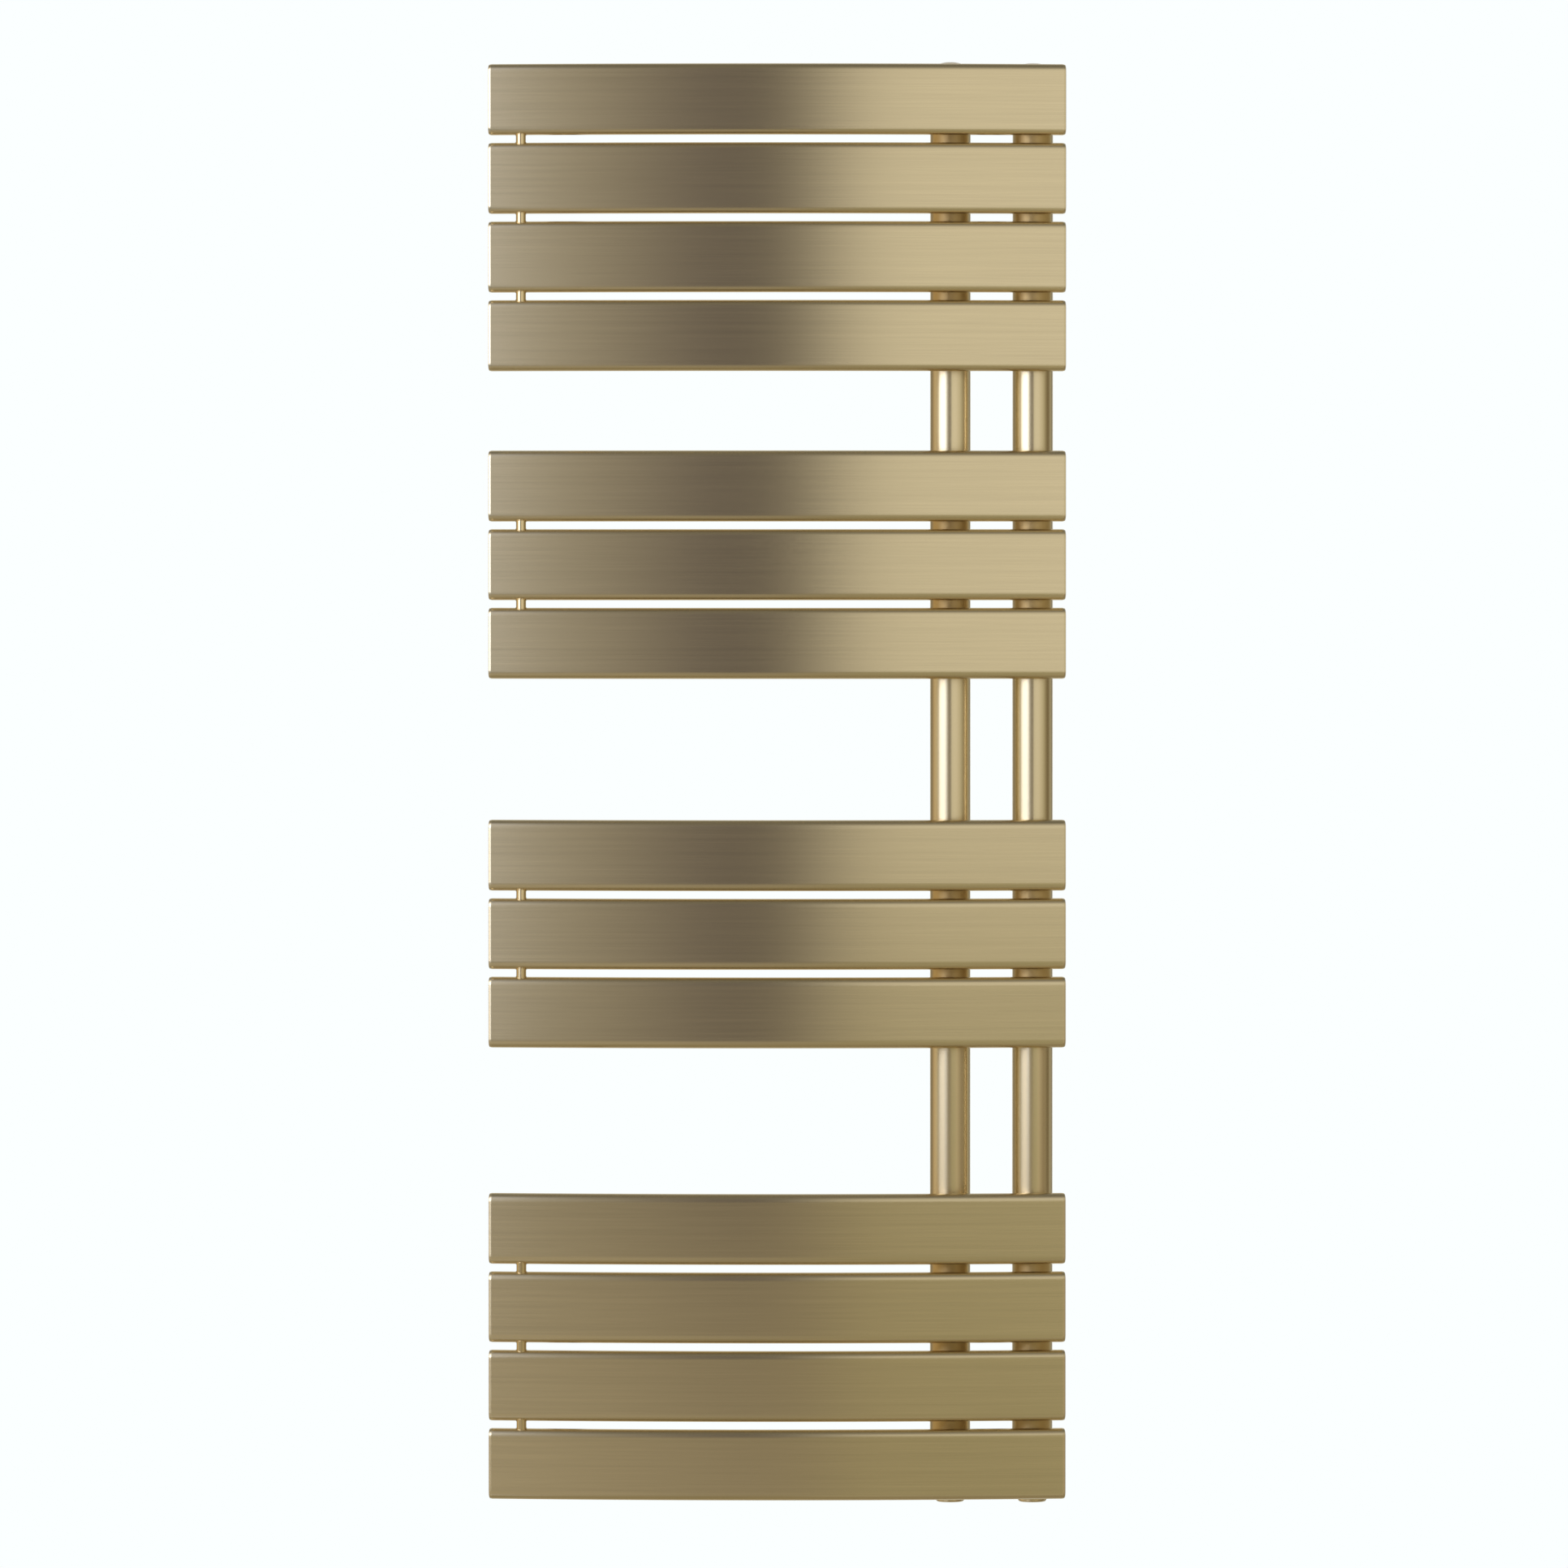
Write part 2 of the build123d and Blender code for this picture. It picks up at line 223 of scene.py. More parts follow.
# The light round the room, by degrees to the right from straight ahead of the radiator
ROOM = (
    (-180, (0.85, 0.85, 0.82)), (-158, (0.80, 0.80, 0.77)), (-148, (0.28, 0.26, 0.22)),
    (-124, (0.28, 0.24, 0.18)), (-110, (0.60, 0.48, 0.33)), (-86, (0.68, 0.61, 0.48)),
    (-74, (0.62, 0.60, 0.52)), (-59, (2.7, 2.8, 3.5)), (-33, (2.75, 2.9, 3.7)),
    (-25, (1.55, 1.75, 2.6)), (-21.5, (0.74, 0.78, 0.94)), (-16, (0.47, 0.47, 0.49)),
    (-12, (0.375, 0.365, 0.36)), (-4, (0.155, 0.143, 0.165)), (0.5, (0.118, 0.108, 0.114)),
    (6.0, (0.85, 0.85, 0.84)), (30, (0.85, 0.85, 0.85)), (48, (0.76, 0.74, 0.69)),
    (66, (0.58, 0.57, 0.49)), (80, (0.34, 0.30, 0.22)), (96, (0.18, 0.15, 0.10)),
    (106, (0.25, 0.21, 0.15)), (122, (0.52, 0.52, 0.46)), (138, (0.24, 0.23, 0.20)),
    (150, (0.28, 0.26, 0.22)), (160, (0.80, 0.80, 0.77)), (180, (0.85, 0.85, 0.82)),
)
ROOM_SPAN = math.radians(360)


def studio_room():
    world = bpy.data.worlds.new("studio_room")
    world.use_nodes = True
    world.node_tree.nodes.clear()
    bpy.context.scene.world = world
    start = Value(world.node_tree)
    towards = start.node("ShaderNodeTexCoord", output="Generated")
    x, y, z = (towards.part(axis) for axis in "XYZ")
    turn = start.maths("ARCTAN2", x, 0 - y)
    rise = start.node("ShaderNodeMath", {"operation": "ARCSINE"}, {0: z})
    along = start.node(
        "ShaderNodeMapRange", None,
        {"Value": turn, "From Min": -ROOM_SPAN / 2, "From Max": ROOM_SPAN / 2},
    )
    stops = [
        (0.5 + math.radians(angle) / ROOM_SPAN, tuple(part / ROOM_BRIGHTEST for part in shade))
        for angle, shade in ROOM
    ]
    wall = start.node("ShaderNodeValToRGB", {"stops": stops}, {0: along})
    bright_wall = start.node(
        "ShaderNodeVectorMath", {"operation": "SCALE"}, {0: wall, "Scale": ROOM_BRIGHTEST}
    )
    overhead = rise.ramp(LIGHTS_TOP - LIGHTS_FADE, LIGHTS_TOP + LIGHTS_FADE)
    room = rise.ramp(*GROUND_FADE).mixed(GROUND, overhead.mixed(bright_wall, CEILING))
    seen = start.node("ShaderNodeLightPath", output="Is Camera Ray")
    light = start.node("ShaderNodeBackground", None, {"Color": seen.mixed(room, BACKDROP)})
    start.node("ShaderNodeOutputWorld", None, {"Surface": light})


studio_room()

# Two low curved cards of grey board in front of the lower bars, which only their reflections show.
# A card's shades go by the distance to the right of the radiator's middle, at its head and foot.


def card_board(name, reach, head, foot, fade):
    material, start = empty_material(name)
    place = start.node("ShaderNodeTexCoord", output="Object")
    across = {"Value": place.part("X"), "From Min": -reach, "From Max": reach}
    along = start.node("ShaderNodeMapRange", None, across)
    shades = []
    for given in (foot, head):
        stops = [(0.5 + 0.5 * x / reach, shade) for x, shade in given]
        shades.append(start.node("ShaderNodeValToRGB", {"stops": stops}, {0: along}))
    raised = place.part("Z").ramp(*fade)
    glow = start.node("ShaderNodeEmission", None, {"Color": raised.mixed(*shades)})
    start.node("ShaderNodeOutputMaterial", None, {"Surface": glow})
    return material


CARD_STEPS = 48


def studio_card(name, radius, foot, tops, span, material):
    """A card round the radiator, between two angles. tops gives the height of its edge at an x."""
    mesh = bmesh.new()
    low = mesh.verts.new((0, -radius, foot))
    high = mesh.verts.new((0, -radius, 0))
    mesh.edges.new((low, high))
    turn = Matrix.Rotation(math.radians(span[0]), 3, "Z")
    bmesh.ops.rotate(mesh, verts=mesh.verts, cent=(0, 0, 0), matrix=turn)
    bmesh.ops.spin(
        mesh, geom=mesh.verts[:] + mesh.edges[:], cent=(0, 0, 0), axis=(0, 0, 1),
        angle=math.radians(span[1] - span[0]), steps=CARD_STEPS,
    )
    for vert in mesh.verts:
        if vert.co.z > foot / 2:
            vert.co.z = tops(vert.co.x)
    made = finish_mesh(name, mesh, material)
    made.visible_camera = False
    made.visible_diffuse = False
    made.visible_shadow = False


NEAR_RADIUS = 1.2
NEAR_FOOT = -1.9
NEAR_TOPS = (
    (-1.2, -0.38), (-0.45, -0.325), (-0.10, -0.41), (0.0, -0.37), (0.16, -0.17), (1.2, -0.16),
)
NEAR_FADE = (-0.60, -0.42)
NEAR_HEAD = (
    (-0.60, (0.27, 0.25, 0.21)), (-0.30, (0.24, 0.22, 0.18)), (-0.06, (0.24, 0.215, 0.18)),
    (0.04, (0.24, 0.215, 0.175)), (0.20, (0.40, 0.375, 0.27)), (0.60, (0.46, 0.44, 0.32)),
    (0.80, (0.55, 0.50, 0.39)), (1.10, (0.32, 0.27, 0.20)),
)
NEAR_SHADES = (
    (-0.60, (0.46, 0.43, 0.36)), (-0.30, (0.42, 0.39, 0.33)), (-0.06, (0.37, 0.34, 0.285)),
    (0.04, (0.37, 0.34, 0.275)), (0.20, (0.41, 0.385, 0.28)), (0.60, (0.42, 0.40, 0.285)),
    (0.80, (0.55, 0.50, 0.39)), (1.10, (0.32, 0.27, 0.20)),
)
FAR_RADIUS = 4.0
FAR_FOOT = -3.0
FAR_TOP = -0.22
FAR_SHADE = (0.27, 0.30, 0.34)


def near_top(x):
    for (x_from, z_from), (x_to, z_to) in zip(NEAR_TOPS, NEAR_TOPS[1:]):
        if x <= x_to:
            return z_from + (z_to - z_from) * (x - x_from) / (x_to - x_from)
    return NEAR_TOPS[-1][1]


studio_card(
    "near_card", NEAR_RADIUS, NEAR_FOOT, near_top, (-75, 75),
    card_board("near_card_board", NEAR_RADIUS, NEAR_HEAD, NEAR_SHADES, NEAR_FADE),
)
studio_card(
    "far_card", FAR_RADIUS, FAR_FOOT, lambda x: FAR_TOP, (-76, -23),
    card_board("far_card_board", FAR_RADIUS, ((0.0, FAR_SHADE),), ((0.0, FAR_SHADE),), (-1, 0)),
)

# A large soft light overhead, which brightens the floor and isn't mirrored in the metal
OVERHEAD_HEIGHT = 3.0
OVERHEAD_SIZE = 4.0
OVERHEAD_POWER = 138.0

overhead_data = bpy.data.lights.new("overhead", "AREA")
overhead_data.size = OVERHEAD_SIZE
overhead_data.energy = OVERHEAD_POWER
overhead = bpy.data.objects.new("overhead", overhead_data)
overhead.location = (0, 0, OVERHEAD_HEIGHT)
overhead.visible_glossy = False
overhead.visible_camera = False
bpy.context.scene.collection.objects.link(overhead)

# ---- Bars ----
# Fourteen bars of flat-oval brass-plated steel tube, bent to one gentle bow and brushed along
# their length. Each is welded by its back to the two collectors, and its left end is free.

BAR_COUNT = 14
BAR_WIDTH = 0.5
BAR_THICKNESS = 0.014
BAR_WALL = 0.0015
BAR_BOW = 0.018
CAP_THICKNESS = 0.003
EDGE_STEPS = 20  # faces round one long edge
BEND_STEPS = 64
SUPPORT = 0.0006  # from a flat side's border to the loop that keeps it flat
BAR_BRASS = (0.70, 0.58, 0.35)
BAR_ROUGHNESS = 0.231
BAR_BRUSHING = 0.86
BAR_GRAIN = (2300.0, 11.0, 1.0)  # brush marks to the metre, across them and along them
OUTSIDE_OF_CAP = 0.7  # how far a cap's outside faces along X, at least
MARK_CONTRAST = 0.22
MARK_ROUGHNESS = 0.03
MARK_BUMP = 0.35
MARK_HEIGHT = 0.00002
BROAD_MARKS = 9  # times as wide as the fine ones
HANDLED_SCALE = 7.0

bar_nodes = [f"bar_{number:02d}" for number in range(1, BAR_COUNT + 1)]
bar_boxes = [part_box(node) for node in bar_nodes]
bar_heights = [(low.z + high.z) / 2 for low, high in bar_boxes]
bar_height = bar_boxes[0][1].z - bar_boxes[0][0].z
bar_front = bar_boxes[0][0].y
bar_edge_radius = BAR_THICKNESS / 2
flat_reach = bar_height / 2 - bar_edge_radius  # from the middle to where an edge's round begins
bend_radius = ((BAR_WIDTH / 2) ** 2 + BAR_BOW**2) / (2 * BAR_BOW)
bend_centre = Vector((0, bar_front + bend_radius, 0))
end_angle = math.asin(BAR_WIDTH / 2 / bend_radius)
cap_angle = CAP_THICKNESS / (bend_radius - bar_edge_radius)


def bar_section(mesh):
    """Draws a bar's outline at x = 0: two half circles joined by the flat front and back."""
    middle = Vector((0, bar_front + bar_edge_radius, 0))
    lower = mesh.verts.new(middle + Vector((0, -bar_edge_radius, flat_reach - SUPPORT)))
    tangent = mesh.verts.new(middle + Vector((0, -bar_edge_radius, flat_reach)))
    mesh.edges.new((lower, tangent))
    over = bmesh.ops.spin(
        mesh, geom=[tangent], cent=middle + Vector((0, 0, flat_reach)), axis=(1, 0, 0),
        angle=-math.pi, steps=EDGE_STEPS,
    )
    behind = next(v for v in over["geom_last"] if isinstance(v, bmesh.types.BMVert))
    below = mesh.verts.new(behind.co - Vector((0, 0, SUPPORT)))
    mesh.edges.new((behind, below))
    turned = bmesh.ops.duplicate(mesh, geom=mesh.verts[:] + mesh.edges[:])
    twins = [v for v in turned["geom"] if isinstance(v, bmesh.types.BMVert)]
    bmesh.ops.rotate(mesh, verts=twins, cent=middle, matrix=Matrix.Rotation(math.pi, 3, "X"))
    mesh.edges.new((lower, turned["vert_map"][below]))
    mesh.edges.new((below, turned["vert_map"][lower]))


def bend(mesh, angle_from, angle_to, steps):
    """Sweeps what is drawn at x = 0 along the bars' bow, from one angle to another."""
    turn = Matrix.Rotation(angle_from, 3, "Z")
    bmesh.ops.rotate(mesh, verts=mesh.verts, cent=bend_centre, matrix=turn)
    return bmesh.ops.spin(
        mesh, geom=mesh.verts[:] + mesh.edges[:] + mesh.faces[:], cent=bend_centre,
        axis=(0, 0, 1), angle=angle_to - angle_from, steps=steps,
    )


def brush_along_bar(mesh, height):
    """Gives a bar's mesh a UV map in metres: U goes round the outline, and V along the bow.
    On the outside of a cap V goes upwards."""
    brushing = mesh.loops.layers.uv.new("brushing")

    def unrolled(point):
        spoke = bend_centre - point
        inset = bend_radius - math.hypot(spoke.x, spoke.y)
        rise = point.z - height
        on_flat = min(max(rise, -flat_reach), flat_reach)
        round_edge = math.atan2(rise - on_flat, bar_edge_radius - inset)
        return on_flat, round_edge, math.atan2(-spoke.x, spoke.y)

    for face in mesh.faces:
        face_round = unrolled(face.calc_center_median())[1]
        for loop in face.loops:
            if abs(face.normal.x) > OUTSIDE_OF_CAP:
                loop[brushing].uv = loop.vert.co.yz
                continue
            on_flat, round_edge, along = unrolled(loop.vert.co)
            if abs(round_edge - face_round) > math.pi:
                round_edge += math.copysign(2 * math.pi, face_round)
            round_outline = height + on_flat + bar_edge_radius * round_edge
            loop[brushing].uv = (round_outline, along * bend_radius)


def brushed_metal(name, colour, roughness, anisotropic, grain, on_uv=False, marking=1.0, dull_and_shaded=()):
    """A brushed metal. grain is the brush marks to the metre, by axis, or across and along them.
    marking is how deep they are. The pairs of heights given for the dull zones are where its front
    is rougher and its colour darker and browner: painted shade between the bars."""
    material, start = empty_material(name)
    place = start.node("ShaderNodeTexCoord", output="Object")
    marks = start.node("ShaderNodeUVMap", {"uv_map": "brushing"}) if on_uv else place
    fine_place = start.node("ShaderNodeMapping", None, {"Vector": marks, "Scale": grain})
    broad_scale = tuple(g / BROAD_MARKS for g in grain[:2])
    broad_scale += (1.0 if on_uv else grain[2] / BROAD_MARKS,)
    broad_place = start.node("ShaderNodeMapping", None, {"Vector": marks, "Scale": broad_scale})
    fine = fine_place.noise(1.0, 3.0)
    broad = broad_place.noise(1.0, 2.0)
    streak = 0.5 * fine + 0.35 * broad + 0.15 * place.noise(HANDLED_SCALE, 2.0)
    contrast = MARK_CONTRAST * marking
    deep = tuple((1 - contrast) * c for c in colour) + (1.0,)
    pale = tuple((1 + contrast) * c for c in colour) + (1.0,)
    sockets = {
        "Base Color": streak.mixed(deep, pale),
        "Metallic": 1.0,
        "Roughness": roughness + MARK_ROUGHNESS * marking * (2 * streak - 1),
        "Normal": fine.bump(MARK_BUMP * marking, MARK_HEIGHT),
    }
    # In front between the bars of a group the roughness rises, and the colour turns darker and
    # browner, which is painted shade.
    if dull_and_shaded:
        height = place.part("Z")
        in_zones = sum(
            height.ramp(low - DULL_AND_SHADE_FADE, low) * (0 - height).ramp(0 - high - DULL_AND_SHADE_FADE, 0 - high)
            for low, high in dull_and_shaded
        )
        dull_and_shade_mask = (0 - place.part("Y")).ramp(*DULL_AND_SHADE_FRONT) * in_zones
        painted_shade_colour = tuple(c * share for c, share in zip(colour, GAP_SHADE_TINT)) + (1.0,)
        sockets["Base Color"] = dull_and_shade_mask.mixed(sockets["Base Color"], painted_shade_colour)
        sockets["Roughness"] = sockets["Roughness"] + DULL_ROUGHNESS * dull_and_shade_mask
    if anisotropic:
        sockets["Anisotropic"] = anisotropic
        sockets["Tangent"] = start.node(
            "ShaderNodeTangent", {"direction_type": "UV_MAP", "uv_map": "brushing"}
        )
    finish_shader(start, sockets)
    return material


def finish_piece(name, mesh, material, slot, body, *nodes):
    """Makes a piece of a bmesh, in the place of these CAD nodes, and lets it ride on a body."""
    made = finish_mesh(name, mesh, material)
    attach(made, body)
    if nodes:
        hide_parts(*nodes)
    return made


bar_brass = brushed_metal(
    "brushed_brass", BAR_BRASS, BAR_ROUGHNESS, BAR_BRUSHING, BAR_GRAIN, on_uv=True
)

bar_tube = bmesh.new()
bar_section(bar_tube)
bend(bar_tube, cap_angle - end_angle, end_angle - cap_angle, BEND_STEPS)
bmesh.ops.recalc_face_normals(bar_tube, faces=bar_tube.faces)
bmesh.ops.solidify(bar_tube, geom=bar_tube.faces[:], thickness=BAR_WALL)
for node, height in zip(bar_nodes, bar_heights):
    mesh = bar_tube.copy()
    bmesh.ops.translate(mesh, verts=mesh.verts, vec=(0, 0, height))
    brush_along_bar(mesh, height)
    finish_piece(f"{node}_tube", mesh, bar_brass, "brushed_brass", "radiator", node)
bar_tube.free()

# ---- End caps ----
# A 3 mm plate closes each end of a bar. It is welded on and ground flush, a narrow bevel is ground
# round its outer edge, and its outside is brushed upwards.

CAP_BEVEL_LENGTH = 0.0021
CAP_BEVEL_DEPTH = 0.0005
CAP_ROUND = 0.0004


def end_cap(side):
    """One cap at z = 0. side is 1 at the right and -1 at the left."""
    mesh = bmesh.new()
    bar_section(mesh)
    bmesh.ops.contextual_create(mesh, geom=mesh.edges[:])
    bevel_angle = CAP_BEVEL_LENGTH / (bend_radius - bar_edge_radius)
    bend(mesh, side * (end_angle - cap_angle), side * (end_angle - bevel_angle), 1)
    bmesh.ops.recalc_face_normals(mesh, faces=mesh.faces)
    outside = max(mesh.faces, key=lambda face: side * face.normal.x)
    around = outside.edges[:]
    bmesh.ops.inset_region(mesh, faces=[outside], thickness=CAP_BEVEL_DEPTH)
    bmesh.ops.translate(mesh, verts=outside.verts, vec=outside.normal * CAP_BEVEL_LENGTH)
    bevel_edges(mesh, around + outside.edges[:], CAP_ROUND, 4)
    return mesh


def gather(pieces):
    """One bmesh of several, which are used up."""
    whole = bmesh.new()
    whole.loops.layers.uv.new("brushing")
    for mesh in pieces:
        data = bpy.data.meshes.new("gathered")
        mesh.to_mesh(data)
        mesh.free()
        whole.from_mesh(data)
        bpy.data.meshes.remove(data)
    return whole


for side, name in ((-1, "left"), (1, "right")):
    caps = []
    for height in bar_heights:
        cap = end_cap(side)
        bmesh.ops.translate(cap, verts=cap.verts, vec=(0, 0, height))
        brush_along_bar(cap, height)
        caps.append(cap)
    node = f"bar_end_caps_{name}"
    finish_piece(f"end_caps_{name}", gather(caps), bar_brass, "brushed_brass", "radiator", node)

# ---- Collectors ----
# Two upright round tubes carry the water, up the left one and down the right one. They are
# brass-plated steel, polished round and round on a belt to a satin. In front between the bars of a
# group they are rougher, and their colour is darker and browner there: painted shade of the bars.

COLLECTOR_WALL = 0.0015
ROUND_STEPS = 96
SATIN_BRASS = (0.74, 0.61, 0.36)
SATIN_ROUGHNESS = 0.27
SATIN_BRUSHING = 0.4
SATIN_MARKING = 0.03
# The darker, browner colour of the collectors' front between the bars is painted shade.
GAP_SHADE_TINT = (1.0, 0.89, 0.66)
DULL_ROUGHNESS = 0.25
DULL_AND_SHADE_FRONT = (0.0700, 0.0755)
DULL_AND_SHADE_FADE = 0.02
GRAIN_FINE = 2400.0
GRAIN_LONG = 45.0
GRAIN_ROUND_Z = (GRAIN_LONG, GRAIN_LONG, GRAIN_FINE)
GRAIN_ROUND_Y = (GRAIN_LONG, GRAIN_FINE, GRAIN_LONG)


def turned(outline, closed=False):
    """A lathe: spins an outline of (radius, height) about Z."""
    mesh = bmesh.new()
    points = [mesh.verts.new((radius, 0, height)) for radius, height in outline]
    edges = [mesh.edges.new(pair) for pair in zip(points, points[1:])]
    if closed:
        edges.append(mesh.edges.new((points[-1], points[0])))
    bmesh.ops.spin(
        mesh, geom=points + edges, cent=(0, 0, 0), axis=(0, 0, 1), angle=2 * math.pi,
        steps=ROUND_STEPS, use_merge=True,
    )
    bmesh.ops.remove_doubles(mesh, verts=mesh.verts, dist=1e-6)
    bmesh.ops.recalc_face_normals(mesh, faces=mesh.faces)
    return mesh


def brush_round(mesh):
    """Gives a turned mesh a UV map in metres whose V follows the brush marks round its axis."""
    brushing = mesh.loops.layers.uv.new("brushing")
    for face in mesh.faces:
        spoke = face.calc_center_median() * Vector((1, 1, 0))
        marks = Vector((0, 0, 1)).cross(spoke)
        marks = marks.normalized() if marks.length > 1e-7 else Vector((1, 0, 0))
        across = face.normal.cross(marks)
        for loop in face.loops:
            loop[brushing].uv = (loop.vert.co.dot(across), loop.vert.co.dot(marks))


def set_up(mesh, place, towards="Z"):
    """Brushes a turned mesh and moves it to its place. Its +Z goes towards Z, -Z or -Y."""
    brush_round(mesh)
    angle = {"Z": 0.0, "-Z": math.pi, "-Y": math.pi / 2}[towards]
    bmesh.ops.rotate(
        mesh, verts=mesh.verts, cent=(0, 0, 0), matrix=Matrix.Rotation(angle, 3, "X")
    )
    bmesh.ops.translate(mesh, verts=mesh.verts, vec=place)
    return mesh


groups = [[bar_heights[0]]]
for upper, lower in zip(bar_heights, bar_heights[1:]):
    if upper - lower < 1.5 * bar_height:
        groups[-1].append(lower)
    else:
        groups.append([lower])
# The collectors get painted shade in front between the bars of each group, and more roughness
# there.
satin_collector = brushed_metal(
    "satin_brass_collector", SATIN_BRASS, SATIN_ROUGHNESS, SATIN_BRUSHING, GRAIN_ROUND_Z,
    marking=SATIN_MARKING, dull_and_shaded=[(group[-1], group[0]) for group in groups],
)
satin_upright = brushed_metal(
    "satin_brass_upright", SATIN_BRASS, SATIN_ROUGHNESS, SATIN_BRUSHING, GRAIN_ROUND_Z,
    marking=SATIN_MARKING,
)
satin_level = brushed_metal(
    "satin_brass_level", SATIN_BRASS, SATIN_ROUGHNESS, SATIN_BRUSHING, GRAIN_ROUND_Y,
    marking=SATIN_MARKING,
)

collector_axes = {}
for side in ("supply", "return"):
    low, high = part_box(f"{side}_collector")
    axis = (low + high) / 2
    collector_axes[side] = Vector((axis.x, axis.y, 0))
    collector_radius = (high.x - low.x) / 2
    bore = collector_radius - COLLECTOR_WALL
    outline = [(bore, low.z), (collector_radius, low.z), (collector_radius, high.z), (bore, high.z)]
    tube = set_up(turned(outline, closed=True), collector_axes[side])
    node = f"{side}_collector"
    finish_piece(f"{node}_tube", tube, satin_collector, "satin_brass", "radiator", node)

# ---- Nipples ----
# Short tubes that join the back of each bar to the two collectors. A bead of weld runs round
# each end, plated over with the rest.

NIPPLE_WALL = 0.0012
BEAD_SIZE = 0.0009
BEAD_SINK = 0.0002  # from the tube's outside to the middle of the bead
BEAD_RIPPLES = 22
BEAD_RIPPLE = 0.14  # as a share of the bead's size
BEAD_SECTION_STEPS = 10
BEAD_STEPS = 66


def weld_bead(radius, size, surface):
    """A bead round Z that lies on a surface, given by its height over a point of the bead."""
    mesh = bmesh.new()
    bmesh.ops.create_circle(mesh, segments=BEAD_SECTION_STEPS, radius=size)
    upright = Matrix.Rotation(math.pi / 2, 3, "X")
    bmesh.ops.rotate(mesh, verts=mesh.verts, cent=(0, 0, 0), matrix=upright)
    bmesh.ops.translate(mesh, verts=mesh.verts, vec=(radius, 0, 0))
    bmesh.ops.spin(
        mesh, geom=mesh.verts[:] + mesh.edges[:], cent=(0, 0, 0), axis=(0, 0, 1), angle=2 * math.pi,
        steps=BEAD_STEPS, use_merge=True,
    )
    bmesh.ops.recalc_face_normals(mesh, faces=mesh.faces)
    for vert in mesh.verts:
        turn = math.atan2(vert.co.y, vert.co.x)
        middle = Vector((radius * math.cos(turn), radius * math.sin(turn), 0))
        swell = 1 + BEAD_RIPPLE * math.cos(BEAD_RIPPLES * turn)
        vert.co = middle + (vert.co - middle) * swell + Vector((0, 0, surface(middle)))
    return mesh


def bar_back(x):
    """The y of a bar's back at x."""
    return bend_centre.y - math.sqrt((bend_radius - BAR_THICKNESS) ** 2 - x**2)


for side in ("supply", "return"):
    node = f"{side}_nipples"
    low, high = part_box(node)
    axis = collector_axes[side]
    nipple_radius = (high.x - low.x) / 2
    offset = high.z - nipple_radius - bar_heights[0]
    bead_radius = nipple_radius + BEAD_SINK
    outline = [
        (nipple_radius - NIPPLE_WALL, -high.y), (nipple_radius, -high.y),
        (nipple_radius, -low.y), (nipple_radius - NIPPLE_WALL, -low.y),
    ]
    nipples = []
    for height in bar_heights:
        place = Vector((axis.x, 0, height + offset))
        on_bar = weld_bead(bead_radius, BEAD_SIZE, lambda p: -bar_back(axis.x + p.x))
        on_collector = weld_bead(
            bead_radius, BEAD_SIZE, lambda p: math.sqrt(collector_radius**2 - p.x**2) - axis.y
        )
        tube = turned(outline, closed=True)
        nipples += [set_up(part, place, "-Y") for part in (tube, on_bar, on_collector)]
    name = f"{side}_nipple_tubes"
    finish_piece(name, gather(nipples), satin_level, "satin_brass", "radiator", node)

# ---- Threaded bosses ----
# Turned brass end pieces, welded on the collectors, each with a half-inch pipe thread inside.
# The lower two take the valves, and the upper two are closed by plugs.

THREAD_INNER = 0.009315
THREAD_OUTER = 0.01048
THREAD_PITCH = 0.001814
THREAD_STEPS = 32  # to the turn
THREAD_FOOT = 0.46  # half a ridge's width at its foot, as a share of the pitch
THREAD_CREST = 0.125  # half its width at its crest, as a share of that
THREAD_OVERLAP = 0.0001  # into the wall
BOSS_LENGTH = 0.012
BOSS_NECK_RADIUS = 0.0125
BOSS_NECK_LENGTH = 0.003
BOSS_RIM_ROUND = 0.0024
BOSS_SHOULDER_ROUND = 0.0006
BOSS_SPIGOT = 0.0015
MOUTH_BEVEL = 0.0004
ROUND_POINTS = 7  # to a quarter turn


def rounded(radius_at, height_at, size, start, end):
    """Points of an arc in an outline, between two angles in degrees: 0 is outwards, 90 upwards."""
    turns = [start + (end - start) * i / ROUND_POINTS for i in range(ROUND_POINTS + 1)]
    angles = [math.radians(turn) for turn in turns]
    return [(radius_at + size * math.cos(a), height_at + size * math.sin(a)) for a in angles]


def thread(root, crest, low, high, phase=0.0):
    """A screw thread's ridge round Z, on a wall at root, between two heights."""
    mesh = bmesh.new()
    foot = THREAD_PITCH * THREAD_FOOT
    tip = foot * THREAD_CREST
    base = root + math.copysign(THREAD_OVERLAP, root - crest)
    profile = [(base, -foot), (crest, -tip), (crest, tip), (base, foot)]
    start = low + foot + phase * THREAD_PITCH
    corners = [mesh.verts.new((radius, 0, start + height)) for radius, height in profile]
    mesh.faces.new(corners)
    steps = int((high - foot - start) / THREAD_PITCH * THREAD_STEPS)
    bmesh.ops.spin(
        mesh, geom=mesh.faces[:], cent=(0, 0, 0), axis=(0, 0, 1),
        angle=2 * math.pi * steps / THREAD_STEPS, steps=steps,
        dvec=(0, 0, THREAD_PITCH / THREAD_STEPS),
    )
    bmesh.ops.recalc_face_normals(mesh, faces=mesh.faces)
    return mesh


